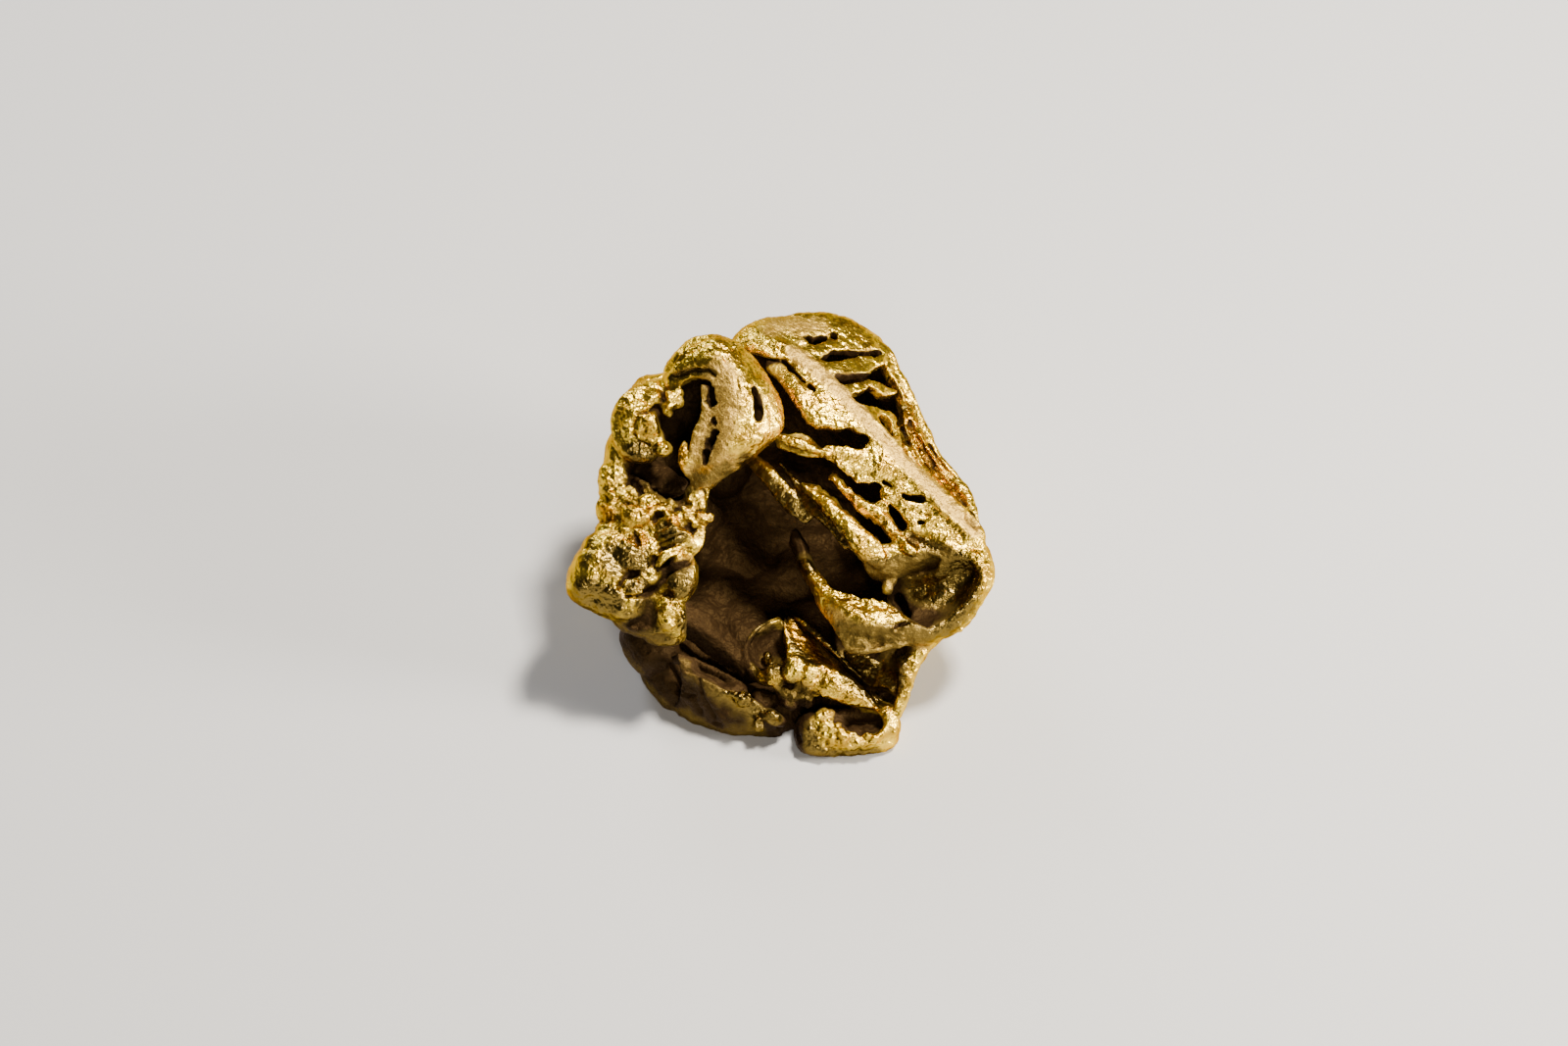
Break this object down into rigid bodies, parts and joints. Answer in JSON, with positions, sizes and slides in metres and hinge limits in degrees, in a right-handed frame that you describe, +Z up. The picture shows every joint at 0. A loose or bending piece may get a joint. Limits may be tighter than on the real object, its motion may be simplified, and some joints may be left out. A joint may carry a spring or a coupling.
{
  "type": "gold nugget",
  "caption": "Crumpled, water-worn gold nugget with a deep hollow, a slotted roof, a curled hood and rounded lumps; rests on its underside.",
  "frame": {"origin": "bottom centre of the nugget's bounding box, on the ground it rests on", "axes": "+Z up, +X to the right across the open face, -Y towards the side that the open face looks to"},
  "size_m": [0.0218, 0.0218, 0.0151],
  "materials": {
    "native_gold": "satin, worn by water"
  },
  "bodies": {
    "root": {"nugget": "native_gold"}
  },
  "joints": []
}
